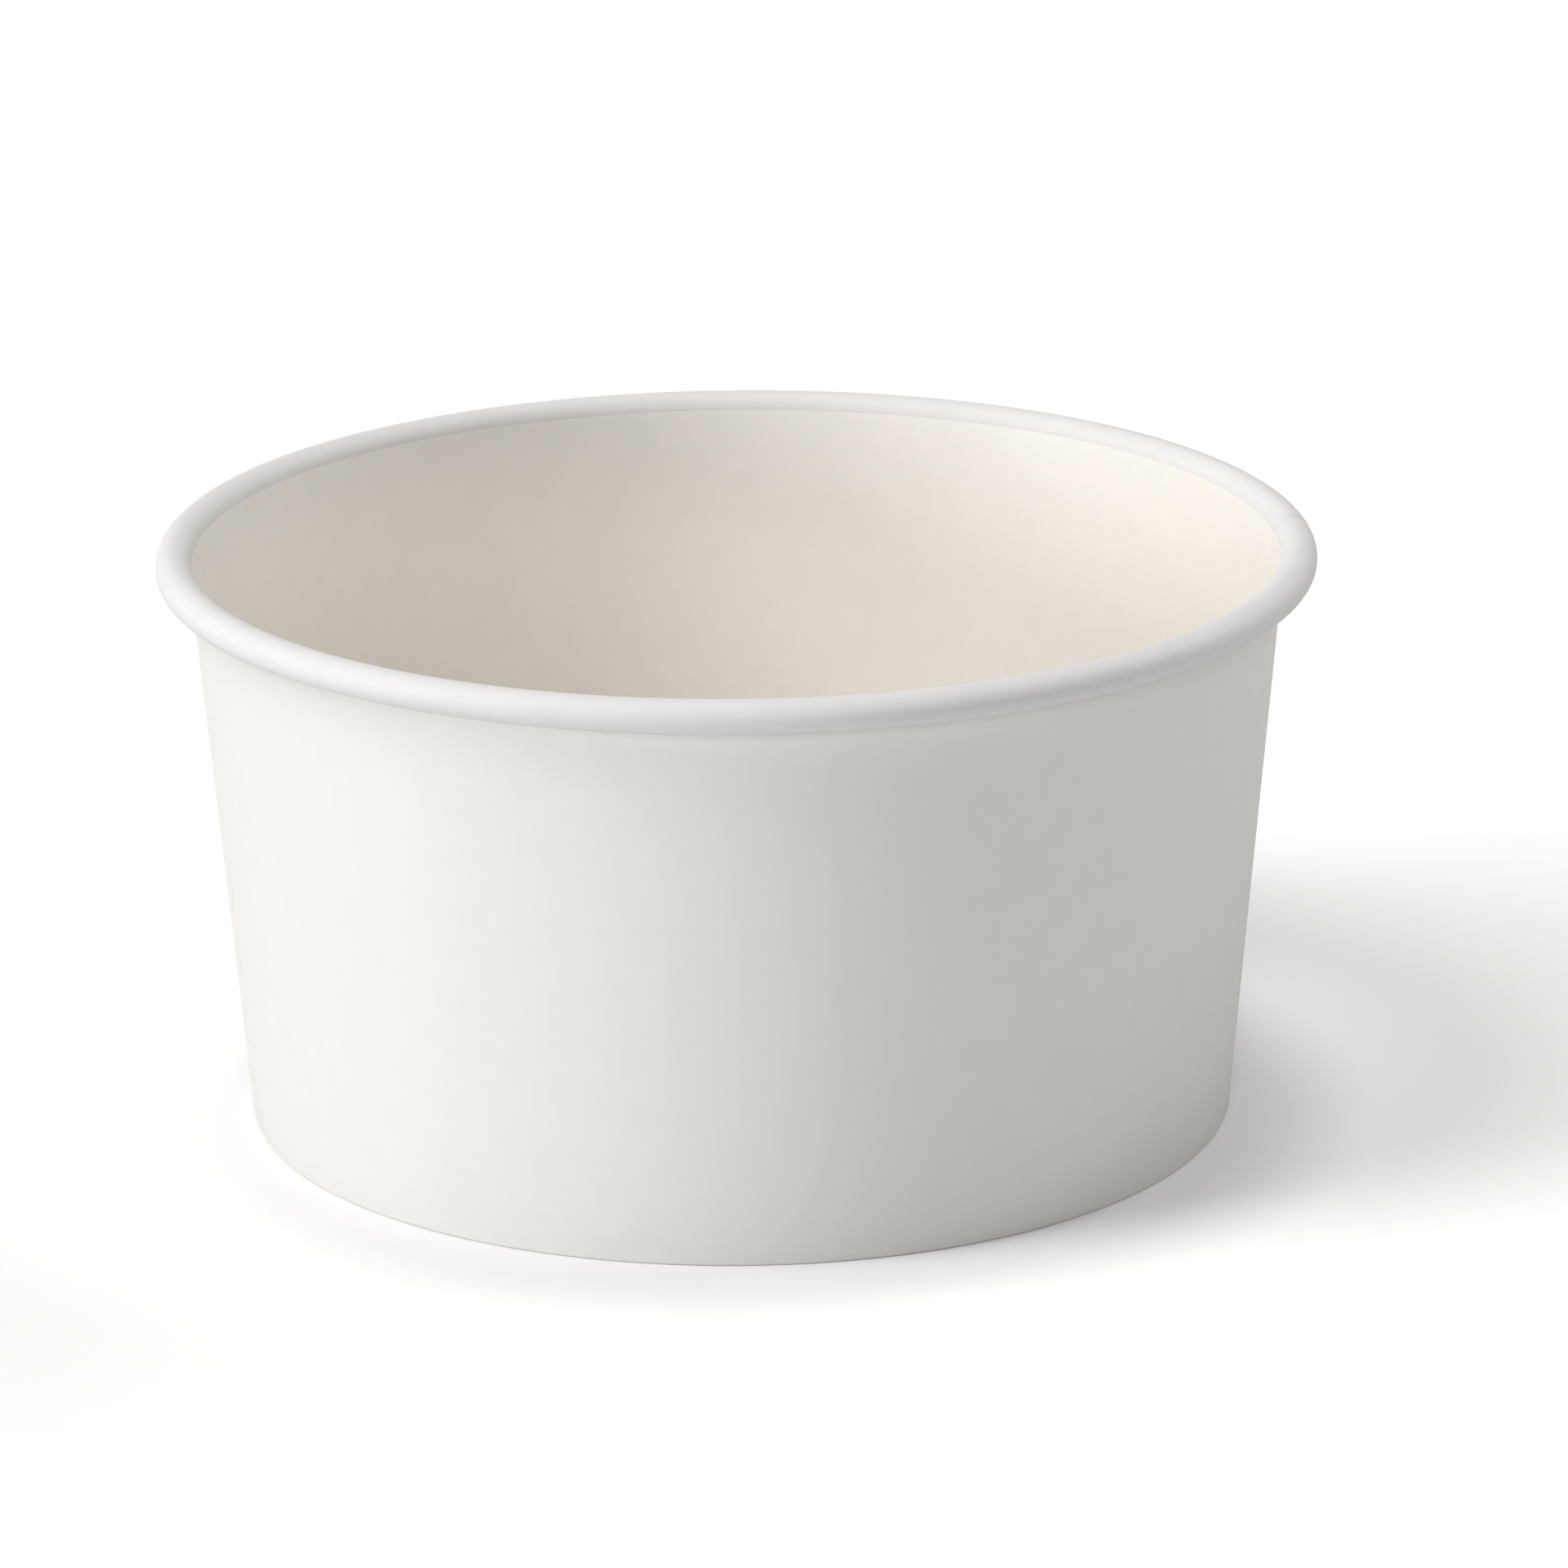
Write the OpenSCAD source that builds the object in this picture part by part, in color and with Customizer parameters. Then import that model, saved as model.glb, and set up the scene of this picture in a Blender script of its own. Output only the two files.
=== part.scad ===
/* [Bowl] */
// Outside diameter of the rolled rim
rim_d = 150; // [142:0.5:180]
// Outside diameter of the foot, where the wall's outer face meets the ground
foot_d = 128.5; // [100:0.5:136]
// Height from the ground to the top of the rim
height = 76.4; // [50:0.1:120]

/* [Board] */
// Thickness of the sidewall's board
wall_t = 0.42; // [0.3:0.01:0.55]
// Thickness of the bottom disc's board
disc_t = 0.34; // [0.25:0.01:0.5]
// Thickness of the melted coating between two plies that are sealed together
seal_t = 0.02; // [0.01:0.01:0.05]

/* [Rolled rim] */
// Width of the roll, from the wall's food side to its outermost point
curl_w = 4.65; // [4:0.05:5.6]
// Height of the roll, from its underside to its top
curl_h = 4.28; // [3.8:0.02:4.8]
// Air between one turn of the roll and the next
curl_gap = 0.1; // [0.06:0.01:0.15]
// How far the free edge runs on past the top inside the roll, in degrees
curl_tail = 50; // [10:1:80]

/* [Foot] */
// Height of the bottom disc's upper face above the ground
disc_h = 8.6; // [7.8:0.1:14]
// Height to which the folded-in hem stands up inside the foot
hem_h = 7; // [4:0.1:7]
// Inner radius of the hem's fold
fold_r = 0.06; // [0.03:0.01:0.12]
// Depth by which the fold is pressed flat against the ground
fold_press = 0.06; // [0.04:0.01:0.12]
// Inner radius of the bottom disc's rounded corner
corner_r = 0.6; // [0.4:0.05:1.2]
// Air between the disc's skirt and the inside of the fold
skirt_clear = 0.2; // [0.1:0.05:1]

/* [Side seam] */
// Where the middle of the lap stands, in degrees round from +X
seam_at = 9; // [-180:1:180]
// Width by which the wall's outer ply laps over the inner one, at the foot
lap_w = 8; // [5:0.5:12]
// Width over which the outer ply slopes down beside the inner ply's edge
slope_w = 1.5; // [1:0.1:3]
// Half the width of the groove that the inner ply's edge leaves inside the bowl
groove_w = 0.2; // [0.1:0.05:0.4]
// Depth of that groove
groove_depth = 0.2; // [0.1:0.05:0.25]

/* [Hidden] */
$fn = 180;
bend_fn = 72;

board_white = [0.94, 0.935, 0.92];
board_cream = [0.93, 0.915, 0.88];

rim_r = rim_d / 2;
foot_r = foot_d / 2;

// The roll is a spiral of arcs: over the top, under, back up beside the wall and on inside.
// Each radius is that of the sheet's food side, which lies on the outside of the roll, and
// each turn leaves room for the board and the air of the one before.
over_r = curl_w / 2;
under_r = curl_h - over_r;
back_r = curl_w - wall_t - curl_gap - under_r;
inside_r = over_r - 2 * (wall_t + curl_gap);

// The wall's outer face runs from the foot's edge to the inside of the roll's first arc,
// which it meets at a tangent, and that sets how far the wall leans out
curl_reach = [rim_r - over_r - foot_r, height - over_r];
lean = atan2(curl_reach.x, curl_reach.y) - asin((over_r - wall_t) / norm(curl_reach));

// The section is drawn in the wall's own frame: its origin is where the outer face meets the
// ground, +Y runs up the wall and +X points out of it
wall_top = thousandth(curl_reach.x * sin(lean) + curl_reach.y * cos(lean));

// The fold holds the disc's skirt, with coating on both of its sides
pocket = disc_t + 2 * seal_t;
fold_out = fold_r + wall_t;
fold_y = thousandth((fold_out * (1 - sin(lean)) - fold_press) / cos(lean));
hem_x = -wall_t - pocket;
fold_c = [-fold_out, fold_y];
hem_c = [hem_x + fold_r, fold_y];
hem_top = thousandth((hem_h + hem_x * sin(lean)) / cos(lean));

// The disc's corner turns a little past level, and the flat starts where the two cross
corner_past = 5;
corner_mid = corner_r + disc_t / 2;
corner_x = -wall_t - seal_t - disc_t - corner_r;
corner_z = disc_h - disc_t / 2 - corner_mid * cos(corner_past);
corner_c = [corner_x, thousandth((corner_z + corner_x * sin(lean)) / cos(lean))];
flat_end = foot_r + corner_c.x * cos(lean) + corner_c.y * sin(lean) - corner_mid * sin(corner_past);
skirt_foot = [corner_x + corner_r, fold_y + skirt_clear];

// The lap stands astride the direction seam_at. Its outer ply has its root in the middle of the
// sheet. It stops a little below the roll's first arc, and a little below the hem's free edge.
lap_angle = lap_w / foot_r * 180 / PI;
ply_root = wall_t / 2;
ply_top = wall_top - 2 * wall_t;
ply_foot_top = hem_top - wall_t;

// Sizes along the wall are kept to a thousandth, so that neighbouring stretches meet exactly
function thousandth(v) = round(v * 1000) / 1000;

function along(a) = [cos(a), sin(a)];
function left_of(a) = [-sin(a), cos(a)];

// A sheet's section is walked from its start, with the sheet on the right of the line walked.
// A move is ["run", length], ["left", radius, turn] or ["right", radius, turn].
function centre_of(p, a, move) =
    move[0] == "left" ? p + move[1] * left_of(a) : p - move[1] * left_of(a);
function turned(a, move) =
    move[0] == "run" ? a : move[0] == "left" ? a + move[2] : a - move[2];
function moved(p, a, move) =
    move[0] == "run" ? p + move[1] * along(a)
    : move[0] == "left" ? centre_of(p, a, move) - move[1] * left_of(turned(a, move))
    : centre_of(p, a, move) + move[1] * left_of(turned(a, move));

module in_wall_frame() {
    translate([foot_r, 0]) rotate(-lean) children();
}

module above_ground() {
    intersection() {
        children();
        square([rim_r + 1, height + 1]);
    }
}

// A straight stretch of the sheet, between its food side's ends p and q
module run_section(p, q, a, t) {
    polygon([p, q, q - t * left_of(a), p - t * left_of(a)]);
}

// A bent stretch of the sheet, between two radii about c and two angles
module bend_section(c, r_in, r_out, a_from, a_to) {
    far = 2 * r_out;
    translate(c) intersection() {
        difference() {
            circle(r_out, $fn = bend_fn);
            circle(r_in, $fn = bend_fn);
        }
        polygon([[0, 0], far * along(a_from), far * along((a_from + a_to) / 2), far * along(a_to)]);
    }
}

module move_section(p, a, move, t) {
    c = centre_of(p, a, move);
    if (move[0] == "run") run_section(p, moved(p, a, move), a, t);
    if (move[0] == "left") bend_section(c, move[1], move[1] + t, a - 90, a - 90 + move[2]);
    if (move[0] == "right") bend_section(c, move[1] - t, move[1], a + 90 - move[2], a + 90);
}

module sheet_section(p, a, moves, t, i = 0) {
    if (i < len(moves)) {
        move_section(p, a, moves[i], t);
        sheet_section(moved(p, a, moves[i]), turned(a, moves[i]), moves, t, i + 1);
    }
}

// The sidewall's sheet, from the hem's free edge down, round the fold, up the wall and
// through the roll to its other free edge
module sidewall_section() {
    above_ground() in_wall_frame() sheet_section([hem_x, hem_top], -90, [
        ["run", hem_top - fold_y],
        ["left", fold_r, 90],
        ["run", pocket - 2 * fold_r],
        ["left", fold_r, 90],
        ["run", wall_top - fold_y],
        ["right", over_r, 90],
        ["right", over_r, 90],
        ["right", under_r, 90],
        ["right", back_r, 90],
        ["right", inside_r, 90],
        ["right", inside_r, curl_tail]
    ], wall_t);
}

// A line round the fold at radius r from its bends, from the wall's side to the hem's
function round_fold(r) = concat(
    [[fold_c.x + r, ply_top]],
    [for (a = [0 : -360 / bend_fn : -90]) fold_c + r * along(a)],
    [for (a = [-90 : -360 / bend_fn : -180]) hem_c + r * along(a)],
    [[hem_c.x - r, ply_foot_top]]
);
function backwards(line) = [for (i = [len(line) - 1 : -1 : 0]) line[i]];

// The lap's outer ply, rooted in the sheet below it. It is folded in with the hem and pressed
// flat against the ground.
module lap_section() {
    above_ground() in_wall_frame()
        polygon(concat(round_fold(fold_out + wall_t), backwards(round_fold(fold_out - ply_root))));
}

// A prism that runs up the wall from height z. Its section has the wall's outer face at x = 0,
// +X pointing out of the wall and +Y along its circumference, at the angle of the lap's slope
module beside_lap(z) {
    rotate(seam_at - lap_angle / 2) translate([foot_r, 0, 0]) rotate([0, lean, 0]) translate([0, 0, z])
        linear_extrude(height + 1) children();
}

// The plane down which the outer ply slopes, to either side of the sheet whose face is at x.
// It carries on below that face to the end of the ply's root.
module slope_cut(x, side) {
    translate([x, 0]) polygon([
        [-side * wall_t, -slope_w],
        [2 * side * wall_t, 2 * slope_w],
        [2 * side * wall_t, -2 * slope_w],
        [-side * wall_t, -2 * slope_w]
    ]);
}

// The outer ply ends in a cut edge on one side and slopes down into the sheet on the other
module lap() {
    root_angle = slope_w / foot_r * 180 / PI;
    difference() {
        rotate(seam_at - lap_angle / 2 - root_angle) rotate_extrude(angle = lap_angle + root_angle) lap_section();
        beside_lap(-1) slope_cut(0, 1);
        beside_lap(-1) slope_cut(hem_x - wall_t, -1);
    }
}

// The groove starts behind the disc's skirt and runs out over the roll
module lap_groove() {
    beside_lap(hem_h) translate([-wall_t, 0])
        polygon([[groove_depth, 0], [-groove_depth, 2 * groove_w], [-groove_depth, -2 * groove_w]]);
}

module sidewall() {
    color(board_white) difference() {
        union() {
            rotate_extrude() sidewall_section();
            lap();
        }
        lap_groove();
    }
}

module bottom_disc() {
    color(board_cream) {
        rotate_extrude() in_wall_frame() sheet_section(skirt_foot, 90, [
            ["run", corner_c.y - skirt_foot.y],
            ["left", corner_r, 90 + lean + corner_past]
        ], disc_t);
        translate([0, 0, disc_h - disc_t]) cylinder(disc_t, r = flat_end);
    }
}

sidewall();
bottom_disc();
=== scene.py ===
import math
import bpy
import numpy as np
from mathutils import Matrix, Vector


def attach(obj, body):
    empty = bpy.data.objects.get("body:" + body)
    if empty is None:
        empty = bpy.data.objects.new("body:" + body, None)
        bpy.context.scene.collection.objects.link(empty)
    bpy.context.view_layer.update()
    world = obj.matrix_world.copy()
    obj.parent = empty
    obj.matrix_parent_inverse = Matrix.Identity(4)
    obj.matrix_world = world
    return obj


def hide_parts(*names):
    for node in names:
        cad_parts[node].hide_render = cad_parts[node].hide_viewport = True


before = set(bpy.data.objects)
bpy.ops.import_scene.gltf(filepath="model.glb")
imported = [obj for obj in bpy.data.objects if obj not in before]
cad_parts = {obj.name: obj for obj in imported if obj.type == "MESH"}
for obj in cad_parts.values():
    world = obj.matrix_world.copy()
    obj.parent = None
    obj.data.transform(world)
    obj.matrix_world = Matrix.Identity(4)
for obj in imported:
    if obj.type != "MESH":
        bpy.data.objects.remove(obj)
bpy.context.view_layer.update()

# Sizes in millimetres, the same as in the part's own source
RIM_R, FOOT_R, HEIGHT = 75.0, 64.25, 76.4
WALL_T, DISC_T, SEAL_T = 0.42, 0.34, 0.02
CURL_W, CURL_H, CURL_GAP, CURL_TAIL = 4.65, 4.28, 0.1, 50
DISC_H, HEM_H, FOLD_R, FOLD_PRESS = 8.6, 7.0, 0.06, 0.06
CORNER_R, SKIRT_CLEAR, CORNER_PAST = 0.6, 0.2, 5
LAP_W, SLOPE_W, GROOVE_DEPTH = 8.0, 1.5, 0.2
SEAM_AT = 9.0  # the middle of the side seam, in degrees round from +X

OVER_R = CURL_W / 2
UNDER_R = CURL_H - OVER_R
BACK_R = CURL_W - WALL_T - CURL_GAP - UNDER_R
INSIDE_R = OVER_R - 2 * (WALL_T + CURL_GAP)
REACH = (RIM_R - OVER_R - FOOT_R, HEIGHT - OVER_R)
LEAN = math.atan2(*REACH) - math.asin((OVER_R - WALL_T) / math.hypot(*REACH))
WALL_TOP = REACH[0] * math.sin(LEAN) + REACH[1] * math.cos(LEAN)
POCKET = DISC_T + 2 * SEAL_T
FOLD_OUT = FOLD_R + WALL_T
FOLD_Y = (FOLD_OUT * (1 - math.sin(LEAN)) - FOLD_PRESS) / math.cos(LEAN)
HEM_X = -WALL_T - POCKET
HEM_TOP = (HEM_H + HEM_X * math.sin(LEAN)) / math.cos(LEAN)
CORNER_X = -WALL_T - SEAL_T - DISC_T - CORNER_R
CORNER_MID = CORNER_R + DISC_T / 2
CORNER_Z = DISC_H - DISC_T / 2 - CORNER_MID * math.cos(math.radians(CORNER_PAST))
CORNER_Y = (CORNER_Z + CORNER_X * math.sin(LEAN)) / math.cos(LEAN)
SKIRT_FOOT = (CORNER_X + CORNER_R, FOLD_Y + SKIRT_CLEAR)
MM = math.degrees(1 / FOOT_R)  # a millimetre round the foot, in degrees
LAP = math.degrees(LAP_W / FOOT_R) / 2  # half the lap, in degrees

# The moves of the wall's sheet, in order, and how many pieces each is cut into on either face
HEM, FOLD_IN, POCKET_RUN, FOLD_UP, WALL, NECK, OVER, UNDER, BACK, INSIDE = range(10)
FOOD_STEPS = [3, 2, 1, 2, 15, 1, 22, 8, 4, 4]
PRINT_STEPS = [3, 5, 1, 5, 15, 1, 8, 7, 5, 4]
SKIRT_STEPS, CORNER_STEPS = 6, 9
DISC_RADII = np.array([63.2, 62.0, 58.0, 50.0, 40.0, 28.0, 15.0, 5.0])

# Stations round the bowl: even ones in degrees, and more beside the lap's two edges, in
# millimetres round the foot. A plain station keeps STATION_CLEAR degrees from one of those.
STATION, STATION_CLEAR = 0.5, 0.2
CUT_STEP = 0.03  # the outer ply drops to its cut edge within this
BY_INNER_EDGE = (-1.1, -0.7, -0.35, -0.08, -0.05, 0.0, 0.1, 0.4, 0.75, 1.1, 1.5, 1.9)
BY_CUT_EDGE = (-0.35, -0.1, -CUT_STEP, 0.0, 0.1, 0.35)

# What the scene adds to the solids, in millimetres
GROOVE_SHARE = 0.8  # of the source's depth of groove
GROOVE_EDGE, GROOVE_FADE = 0.05, 1.1  # where the groove starts and has faded out
GROOVE_RISE = (0.6, 2.6)  # above the hem, where the groove starts and has its full depth
SQUEEZE_IN, SQUEEZE_OUT = 0.5, 5.0  # how the roll is pressed tighter at the lap
SWELL, SWELL_RISE = 0.06, (11.0, 40.0)  # the wall's slow waves, free above the stiff foot
SWELLS = (  # periods round the bowl, share, phase, lean with height
    (2, 0.42, 0.6, 0.5), (3, 0.30, 2.1, -1.3), (5, 0.16, 4.0, 1.9),
    (7, 0.12, 1.2, -2.6), (11, 0.07, 5.1, 3.7), (17, 0.04, 0.3, -5.0),
)
SWELL_SHARE, PULLED_IN = 0.7, 0.35
TOP_CLEAR = 0.001  # kept below the solid's top
RIBS, RIB_DEPTH = 180, 0.11  # the knurling on the hem
PLEATS, PLEAT_DEPTH = 160, 0.018
WANDER, WANDERS = 1.7, 7  # how far the pleats' spacing wanders, and how often round the disc
DISH, DISH_R, DISH_WARP, DISH_TURN = 0.10, 64, 0.5, 1.0

# The board's textures: scales per metre, and how far its roughness drifts
CLOUD, CUT_CLOUD, FIBRES, TUFTS = 230.0, 900.0, 2600.0, 620.0
COAT = 1.7  # how much finer the coating's drift is than the pulp's
SMOOTHER, ROUGHER = 0.05, 0.06
DRIFT = (0.3, 0.7)  # the part of a noise's range over which things drift
SHARP_ANGLE = 38  # faces that meet at more than this keep a crisp edge, in degrees

FLOOR_REACH = 3.0  # metres from the bowl
FLOOR_SEEN = 0.99  # what the camera sees of the floor
FLOOR_BOUNCE = 0.7  # what the floor gives back to the bowl
FLOOR_GLOW = 0.03
SKY_LIGHT, SKY_SEEN = 0.005, 1.0

LAMPS = (  # name, azimuth, elevation, share of full light, angle of the source, in degrees
    ("key_low", 72, 4, 0.48, 20),
    ("key", 70, 40, 0.242, 25),
    ("key_high", 70, 60, 0.271, 25),
    ("front", 0, 20, 0.242, 25),
    ("top", 180, 86, 0.254, 14),
    ("back_right", -120, 30, 0.36, 50),
    ("back", 180, 15, 0.076, 50),
    ("back_left", 135, 20, 0.10, 40),
)

CAMERA_AT = (0, -1.02026, 0.36627)
YAW, PITCH, ROLL = 0.0058, 0.3072, -0.0080
SENSOR, LENS, CLIP = 36, 188.35, (0.05, 20)


def smooth(a, b, v):
    k = np.clip((np.asarray(v, float) - a) / (b - a), 0, 1)
    return k * k * (3 - 2 * k)


def walk(start, heading, moves, counts):
    """Points and headings along a sheet's line.

    Moves are as in the part's source: a run's length, or a radius and a turn in degrees
    (positive to the left). counts gives the number of pieces of each.
    """
    p, a = np.array(start, float), math.radians(heading)
    points, headings = [p.copy()], [a]
    for move, n in zip(moves, counts):
        for _ in range(n):
            if len(move) == 1:
                p = p + move[0] / n * np.array([math.cos(a), math.sin(a)])
            else:
                turn = math.radians(move[1]) / n
                side = move[0] * math.copysign(1, turn)
                centre = p + side * np.array([-math.sin(a), math.cos(a)])
                a += turn
                p = centre - side * np.array([-math.sin(a), math.cos(a)])
            points.append(p.copy())
            headings.append(a)
    return np.array(points), np.array(headings)


def right_of(headings):
    return np.stack([np.sin(headings), -np.cos(headings)], axis=1)


def from_wall_frame(x, y):
    """Radius and height, in space, of a point in the wall's own frame."""
    r = FOOT_R + x * math.cos(LEAN) + y * math.sin(LEAN)
    return r, y * math.cos(LEAN) - x * math.sin(LEAN)


def round_axis(r, z):
    """Stations x points x 3, from radii and heights."""
    return np.stack([r * np.cos(around), r * np.sin(around), z], axis=-1)


def axis_fans(ids, rings, open_at):
    """The ends of an open stretch: a new point each on the axis, fanned to the ring beside it."""
    top, under = ids[:, open_at], ids[:, open_at + 1]
    middles = [[0, 0, rings[:, j, 2].mean()] for j in (open_at, open_at + 1)]
    top_fan = [[a, b, ids.size] for a, b in zip(top, np.roll(top, -1))]
    under_fan = [[a, b, ids.size + 1] for a, b in zip(np.roll(under, -1), under)]
    return middles, top_fan, under_fan


def closed_rings(name, rings, kinds, materials, open_at=None):
    """A closed mesh from an array of stations x ring points x 3, in millimetres.

    kinds gives each stretch of the ring its material. The stretch open_at is left open, and
    its ends are closed to the axis, with the first and the second material.
    """
    ids = np.arange(rings.shape[0] * rings.shape[1]).reshape(rings.shape[:2])
    after = np.roll(ids, -1, axis=0)
    quads = [ids, after, np.roll(after, -1, axis=1), np.roll(ids, -1, axis=1)]
    quads = np.stack(quads, axis=-1)
    kind = np.broadcast_to(kinds, ids.shape)
    verts = rings.reshape(-1, 3)
    fans = []
    if open_at is not None:
        quads, kind = np.delete(quads, open_at, axis=1), np.delete(kind, open_at, axis=1)
        middles, *fans = axis_fans(ids, rings, open_at)
        verts = np.vstack([verts, middles])
    faces = quads.reshape(-1, 4).tolist()
    kind = kind.reshape(-1)
    for material, fan in enumerate(fans):
        faces += fan
        kind = np.concatenate([kind, np.full(len(fan), material)])
    me = bpy.data.meshes.new(name)
    me.from_pydata((verts / 1000).tolist(), [], faces)
    for m in materials:
        me.materials.append(m)
    me.polygons.foreach_set("material_index", kind.astype(np.int32))
    me.shade_smooth()
    me.update()
    ob = bpy.data.objects.new(name, me)
    bpy.context.scene.collection.objects.link(ob)
    me.set_sharp_from_angle(angle=math.radians(SHARP_ANGLE))
    return ob


# ---- finishes

def socket(node, name, value):
    node.inputs[name].default_value = value


def board(name, low, high, rough, bump_height, gloss=0.5, cloud=CLOUD):
    """White board.

    Its colour drifts with the cloudiness of the pulp, its roughness with the coating, and fine
    fibres lift the surface.
    """
    m = bpy.data.materials.new(name)
    m.use_nodes = True
    nt = m.node_tree
    bsdf = nt.nodes["Principled BSDF"]
    coords = nt.nodes.new("ShaderNodeTexCoord")

    def noise(scale, detail, roughness=0.55):
        n = nt.nodes.new("ShaderNodeTexNoise")
        socket(n, "Scale", scale)
        socket(n, "Detail", detail)
        socket(n, "Roughness", roughness)
        nt.links.new(coords.outputs["Object"], n.inputs["Vector"])
        return n.outputs["Fac"]

    def ramp(fac, *stops):
        n = nt.nodes.new("ShaderNodeValToRGB")
        for element, (position, colour) in zip(n.color_ramp.elements, stops):
            element.position, element.color = position, (*colour, 1)
        nt.links.new(fac, n.inputs["Fac"])
        return n.outputs["Color"]

    def remap(fac, lo, hi, a=DRIFT[0], b=DRIFT[1]):
        n = nt.nodes.new("ShaderNodeMapRange")
        socket(n, "From Min", a)
        socket(n, "From Max", b)
        socket(n, "To Min", lo)
        socket(n, "To Max", hi)
        nt.links.new(fac, n.inputs["Value"])
        return n.outputs["Result"]

    colour = ramp(noise(cloud, 4.0), (DRIFT[0], low), (DRIFT[1], high))
    nt.links.new(colour, bsdf.inputs["Base Color"])
    roughness = remap(noise(cloud * COAT, 3.0), rough - SMOOTHER, rough + ROUGHER)
    nt.links.new(roughness, bsdf.inputs["Roughness"])
    socket(bsdf, "Specular IOR Level", gloss)
    fibres = nt.nodes.new("ShaderNodeMath")
    fibres.operation = "ADD"
    nt.links.new(noise(FIBRES, 3.0, 0.6), fibres.inputs[0])
    nt.links.new(remap(noise(TUFTS, 2.0), 0.0, 0.8, 0.0, 1.0), fibres.inputs[1])
    bump = nt.nodes.new("ShaderNodeBump")
    socket(bump, "Strength", 1.0)
    socket(bump, "Distance", bump_height)
    nt.links.new(fibres.outputs["Value"], bump.inputs["Height"])
    nt.links.new(bump.outputs["Normal"], bsdf.inputs["Normal"])
    return m


# The food side below the roll: its creamier tint is partly the coating's own colour and partly
# painted warm bounce light from inside the bowl.
food_side = board(
    "food_side", (0.868, 0.837, 0.789), (0.888, 0.857, 0.809), rough=0.46, bump_height=6e-6)
# The same food side where it rolls over into the rim, as a darker, greyer copy of its colour:
# painted shade on the roll.
shaded_rim_board = board(
    "shaded_rim_board", (0.748, 0.741, 0.728), (0.768, 0.761, 0.748), rough=0.55, bump_height=6e-6,
    gloss=0.3)
print_side = board(
    "print_side", (0.822, 0.809, 0.779), (0.837, 0.824, 0.794), rough=0.58, bump_height=9e-6,
    gloss=0.4)
cut_edge = board(
    "cut_edge", (0.80, 0.77, 0.71), (0.86, 0.83, 0.77), rough=0.9, bump_height=2e-5,
    gloss=0.2, cloud=CUT_CLOUD)


# ---- stations round the bowl

specials = [-LAP + d * MM for d in BY_INNER_EDGE] + [LAP + d * MM for d in BY_CUT_EDGE]
base = np.arange(-180, 180, STATION)
clear = np.abs(base[:, None] - np.array(specials)[None]).min(axis=1) > STATION_CLEAR
theta = np.sort(np.concatenate([base[clear], specials]))  # degrees from the seam's middle
around = np.radians(theta + SEAM_AT)[:, None]
arc = (theta + LAP) / MM  # millimetres along the foot from the inner ply's edge


# ---- the sidewall: one sheet from the hem's free edge round the fold, up the wall and
# through the roll

def wall_moves(back_r):
    return [
        (HEM_TOP - FOLD_Y,), (FOLD_R, 90), (POCKET - 2 * FOLD_R,), (FOLD_R, 90),
        (WALL_TOP - 2 * WALL_T - FOLD_Y,), (2 * WALL_T,),
        (OVER_R, -180), (UNDER_R, -90), (back_r, -90), (INSIDE_R, -90 - CURL_TAIL),
    ]


def wall_lines(back_r):
    """The sheet's food side and print side, each with its directions out of the board."""
    food, food_heading = walk((HEM_X, HEM_TOP), -90, wall_moves(back_r), FOOD_STEPS)
    line, heading = walk((HEM_X, HEM_TOP), -90, wall_moves(back_r), PRINT_STEPS)
    out = right_of(heading)
    return food, right_of(food_heading), line + WALL_T * out, out


def undulation(th, up):
    """How far the board strays from true, as a share of its most: slow swells that lean."""
    total = np.zeros(np.broadcast(th, up).shape)
    for k, size, phase, drift in SWELLS:
        total = total + size * np.cos(k * th + phase + drift * up)
    return total


def lay_out(x, y):
    """Stations x points, from the wall's frame into space.

    The swells are pulled in, most of all along X and Y, to stay inside the solid's box.
    """
    r, z = from_wall_frame(x, y)
    up = np.clip(z / HEIGHT, 0, 1)
    stray = SWELL_SHARE * undulation(around, up) - PULLED_IN - PULLED_IN * np.cos(4 * around)
    r = r + SWELL * smooth(*SWELL_RISE, z) * stray
    return round_axis(r, np.clip(z, 0.0, HEIGHT - TOP_CLEAR))


def over_points(along_ring, points, way):
    """A shift of each point along its way, scaled round the bowl and along the ring."""
    return along_ring[:, None, None] * (points[:, None] * way)[None]


food_plain, food_in, print_plain, print_out = wall_lines(BACK_R)
food_lapped, _, print_lapped, _ = wall_lines(BACK_R - WALL_T)

# the roll is squeezed where the lap runs into it
squeeze = smooth(-SQUEEZE_OUT, SQUEEZE_IN, arc)
squeeze = squeeze * (1 - smooth(LAP_W - SQUEEZE_IN, LAP_W + SQUEEZE_OUT, arc))
mix = squeeze[:, None, None]
food = food_plain * (1 - mix) + food_lapped * mix
inner = print_plain * (1 - mix) + print_lapped * mix

# the groove beside the inner ply's edge, from above the hem to the roll's underside
point = np.arange(len(food_plain))
groove_run = smooth(HEM_H + GROOVE_RISE[0], HEM_H + GROOVE_RISE[1], food_plain[:, 1])
groove_run = groove_run * (point >= sum(FOOD_STEPS[:WALL])) * (point < sum(FOOD_STEPS[:BACK]))
step_down = np.where(arc > -GROOVE_EDGE / 2, 0.0, 1 - smooth(GROOVE_EDGE, GROOVE_FADE, -arc))
food = food + over_points(GROOVE_DEPTH * GROOVE_SHARE * step_down, groove_run, food_in)

# the outer ply slopes up from the sheet on one side and drops at its cut edge on the other
past_cut = theta > LAP - CUT_STEP / 2 * MM
ply = np.clip(arc / SLOPE_W, 0, 1) * (~past_cut)
on_ply = np.zeros(len(print_plain))
on_ply[:sum(PRINT_STEPS[:NECK]) + 1] = 1.0
inner = inner + over_points(WALL_T * ply, on_ply, print_out)

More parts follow.
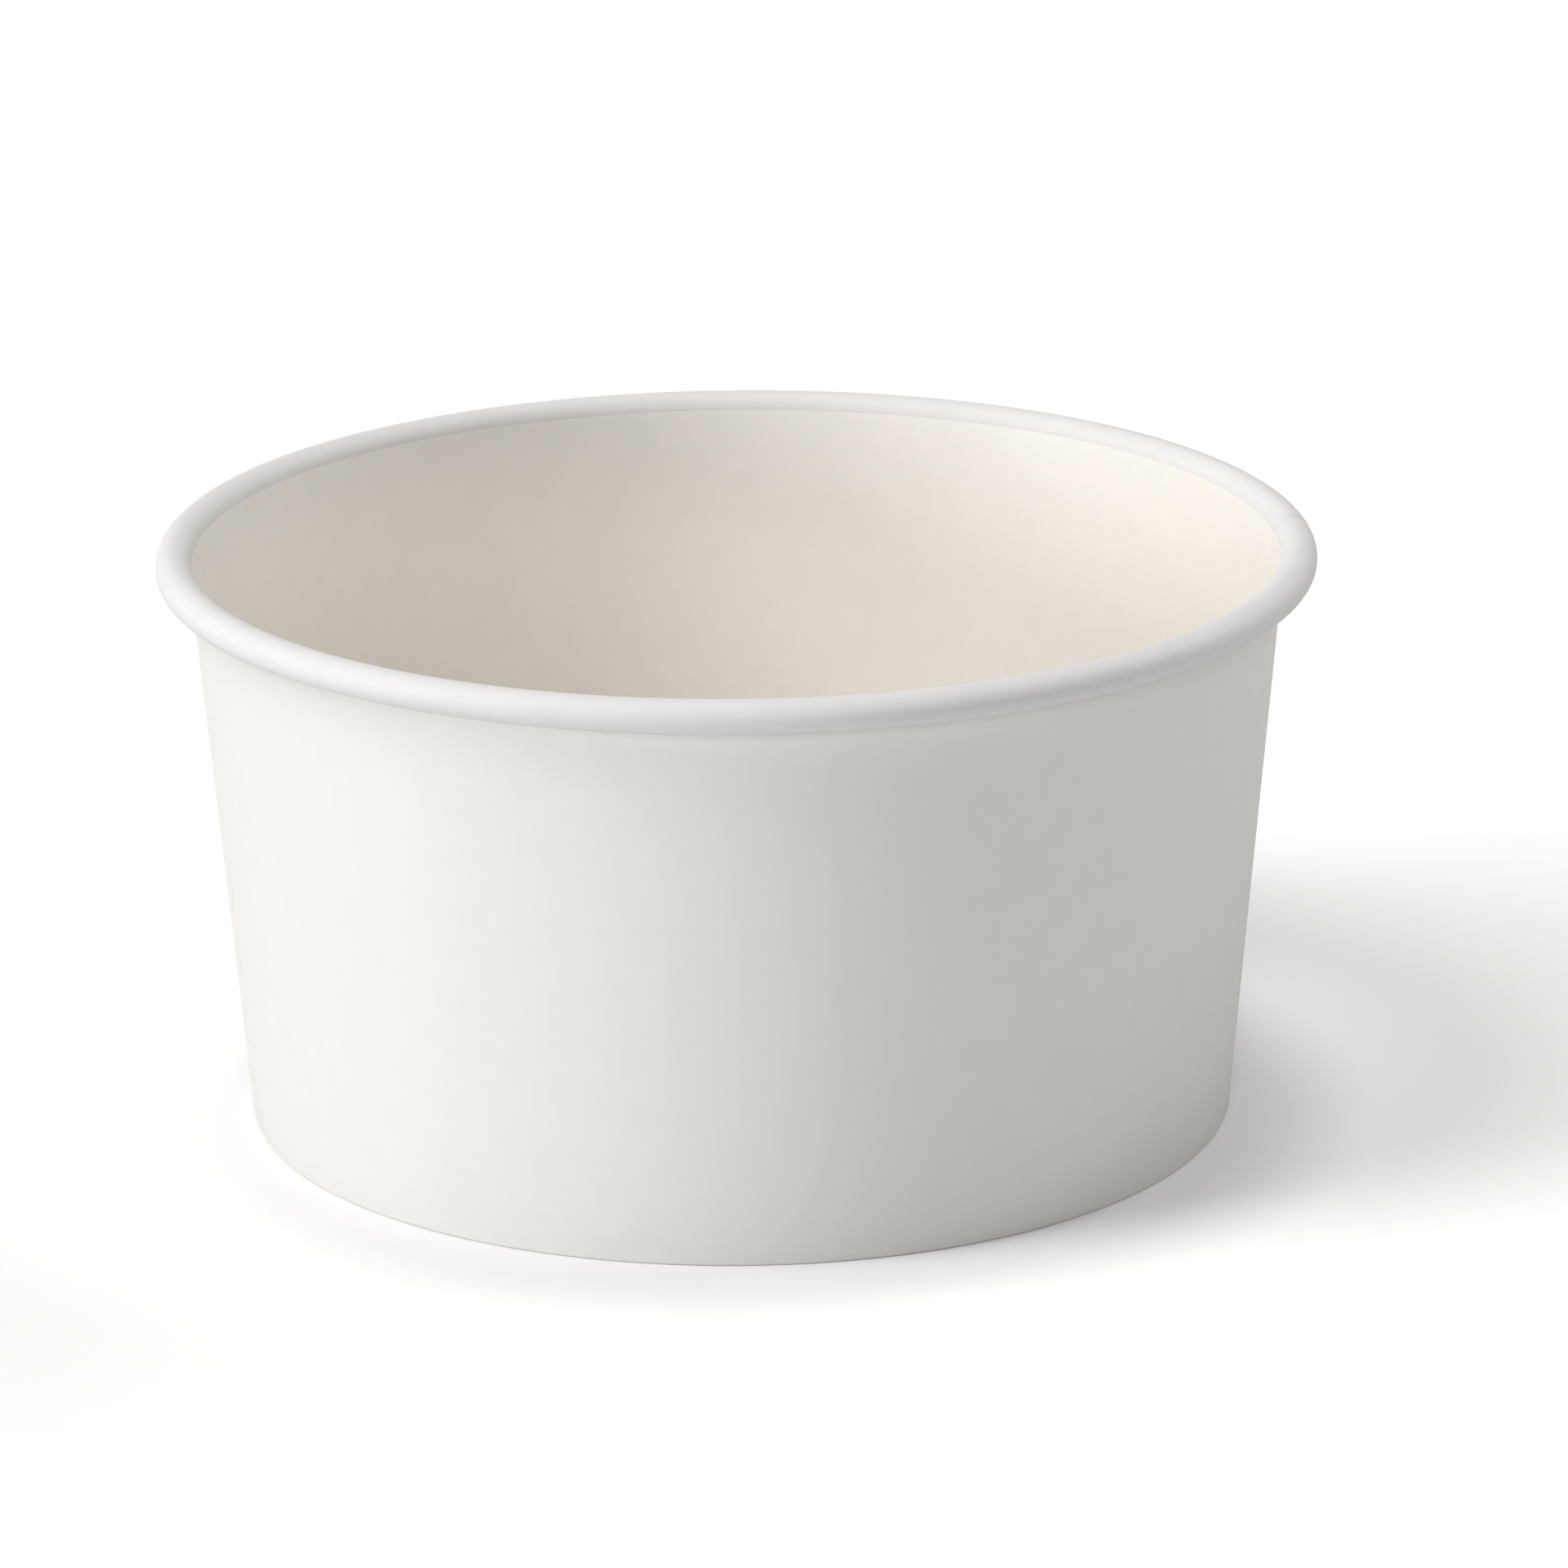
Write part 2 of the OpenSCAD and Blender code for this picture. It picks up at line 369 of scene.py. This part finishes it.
# the hem is knurled against the skirt: shallow upright ribs, seen from below
rib = 0.5 - 0.5 * np.cos(np.radians(theta * RIBS))
on_hem = np.zeros(len(print_plain))
on_hem[1:PRINT_STEPS[HEM]] = 1.0
inner = inner - over_points(RIB_DEPTH * rib, on_hem, print_out)

# the ring runs up the food side and back down the print side, with a cut edge at either end
ring = np.concatenate([food, inner[:, ::-1]], axis=1)
rings = lay_out(ring[:, :, 0], ring[:, :, 1])[::-1]
FOOD, SHADED_RIM, PRINT, CUT = range(4)
last_food = food.shape[1] - 1
kinds = np.full(ring.shape[1], PRINT)
kinds[:last_food] = FOOD
# the roll's food side takes the darker, greyer copy: painted shade on the roll
kinds[sum(FOOD_STEPS[:OVER]):last_food] = SHADED_RIM
kinds[[last_food, -1]] = CUT
sidewall = closed_rings(
    "sidewall_sheet", rings, kinds, [food_side, shaded_rim_board, print_side, cut_edge])


# ---- the bottom disc: its skirt, the rounded corner and the flat

def disc_side(line, z_flat, out):
    """One face of the disc, pleated round its corner and dished in the middle."""
    turns = np.radians(theta)
    pleat = PLEAT_DEPTH * np.sin(turns * PLEATS + WANDER * np.sin(turns * WANDERS))
    turn = np.r_[np.zeros(SKIRT_STEPS), np.linspace(0, 1, CORNER_STEPS + 1)]
    pleat = pleat[:, None] * (np.sin(turn * math.pi) ** 2)[None]
    r, z = from_wall_frame(line[:, 0] - pleat * out[:, 0], line[:, 1] - pleat * out[:, 1])
    r_flat = np.broadcast_to(DISC_RADII, (len(theta), len(DISC_RADII)))
    warp = 1 + DISH_WARP * np.cos(2 * around + DISH_TURN) * (r_flat / DISH_R)
    dish = DISH * (1 - (r_flat / DISH_R) ** 2) * warp
    z_all = np.concatenate([np.minimum(z, DISC_H), z_flat - dish], axis=1)
    return round_axis(np.concatenate([r, r_flat], axis=1), z_all)


corner_turn = 90 + math.degrees(LEAN) + CORNER_PAST
skirt_moves = [(CORNER_Y - SKIRT_FOOT[1],), (CORNER_R, corner_turn)]
skirt_line, skirt_heading = walk(SKIRT_FOOT, 90, skirt_moves, [SKIRT_STEPS, CORNER_STEPS])
skirt_out = right_of(skirt_heading)
top_side = disc_side(skirt_line + DISC_T * skirt_out, DISC_H, skirt_out)
low_side = disc_side(skirt_line, DISC_H - DISC_T, skirt_out)
disc_rings = np.concatenate([top_side, low_side[:, ::-1]], axis=1)
DISC_FOOD, DISC_PRINT, DISC_CUT = range(3)
last_top = top_side.shape[1] - 1
disc_kinds = np.full(disc_rings.shape[1], DISC_PRINT)
disc_kinds[:last_top] = DISC_FOOD
disc_kinds[-1] = DISC_CUT
disc = closed_rings(
    "disc_sheet", disc_rings, disc_kinds, [food_side, print_side, cut_edge], last_top)

for piece, node, slot in (
    (sidewall, "sidewall", "sidewall_board"),
    (disc, "bottom_disc", "disc_board"),
):
    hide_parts(node)
    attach(piece, "root")


# ---- floor, light and camera

def by_sight(tree, output_kind, seen, unseen):
    """Ends a tree in one shader for the camera's rays and another for all the rest."""
    path = tree.nodes.new("ShaderNodeLightPath")
    pick = tree.nodes.new("ShaderNodeMixShader")
    output = tree.nodes.new(output_kind)
    tree.links.new(path.outputs["Is Camera Ray"], pick.inputs["Fac"])
    tree.links.new(unseen, pick.inputs[1])
    tree.links.new(seen, pick.inputs[2])
    tree.links.new(pick.outputs["Shader"], output.inputs["Surface"])


def grey(node, value):
    socket(node, "Color", (value, value, value, 1))
    return node


floor_mat = bpy.data.materials.new("floor_white")
floor_mat.use_nodes = True
nt = floor_mat.node_tree
nt.nodes.clear()
bounce = grey(nt.nodes.new("ShaderNodeBsdfDiffuse"), FLOOR_BOUNCE)
paper_white = grey(nt.nodes.new("ShaderNodeBsdfDiffuse"), FLOOR_SEEN)
glow = nt.nodes.new("ShaderNodeEmission")
socket(glow, "Strength", FLOOR_GLOW)
lifted = nt.nodes.new("ShaderNodeAddShader")
nt.links.new(paper_white.outputs["BSDF"], lifted.inputs[0])
nt.links.new(glow.outputs["Emission"], lifted.inputs[1])
by_sight(nt, "ShaderNodeOutputMaterial", lifted.outputs["Shader"], bounce.outputs["BSDF"])
floor_mesh = bpy.data.meshes.new("floor")
corners = [(x * FLOOR_REACH, y * FLOOR_REACH, 0) for x, y in ((-1, -1), (1, -1), (1, 1), (-1, 1))]
floor_mesh.from_pydata(corners, [], [(0, 1, 2, 3)])
floor_mesh.materials.append(floor_mat)
floor = bpy.data.objects.new("floor", floor_mesh)
bpy.context.scene.collection.objects.link(floor)

bpy.context.scene.view_settings.view_transform = "Standard"
world = bpy.data.worlds.new("studio")
bpy.context.scene.world = world
world.use_nodes = True
wt = world.node_tree
wt.nodes.clear()
sky = grey(wt.nodes.new("ShaderNodeBackground"), 1)
socket(sky, "Strength", SKY_LIGHT)
white = grey(wt.nodes.new("ShaderNodeBackground"), 1)
socket(white, "Strength", SKY_SEEN)
by_sight(wt, "ShaderNodeOutputWorld", white.outputs["Background"], sky.outputs["Background"])


def sun(name, azimuth, elevation, strength, angle):
    """azimuth is measured from the camera's side of the bowl towards its left."""
    light = bpy.data.lights.new(name, "SUN")
    light.energy = strength
    light.angle = math.radians(angle)
    ob = bpy.data.objects.new(name, light)
    bpy.context.scene.collection.objects.link(ob)
    a, e = math.radians(azimuth), math.radians(elevation)
    towards = Vector((-math.sin(a) * math.cos(e), -math.cos(a) * math.cos(e), math.sin(e)))
    ob.rotation_mode = "QUATERNION"
    ob.rotation_quaternion = towards.to_track_quat("Z", "Y")


for name, azimuth, elevation, share, angle in LAMPS:
    sun(name, azimuth, elevation, share * math.pi, angle)

cam_data = bpy.data.cameras.new("camera")
cam = bpy.data.objects.new("camera", cam_data)
bpy.context.scene.collection.objects.link(cam)
bpy.context.scene.camera = cam
cam_data.sensor_width = SENSOR
cam_data.lens = LENS
cam_data.clip_start, cam_data.clip_end = CLIP
forward = Vector((
    math.sin(YAW) * math.cos(PITCH), math.cos(YAW) * math.cos(PITCH), -math.sin(PITCH)))
level = Vector((math.cos(YAW), -math.sin(YAW), 0))
upright = level.cross(forward)
across = math.cos(ROLL) * level + math.sin(ROLL) * upright
above = math.cos(ROLL) * upright - math.sin(ROLL) * level
turned = Matrix((across, above, -forward)).transposed().to_4x4()
cam.matrix_world = Matrix.Translation(CAMERA_AT) @ turned
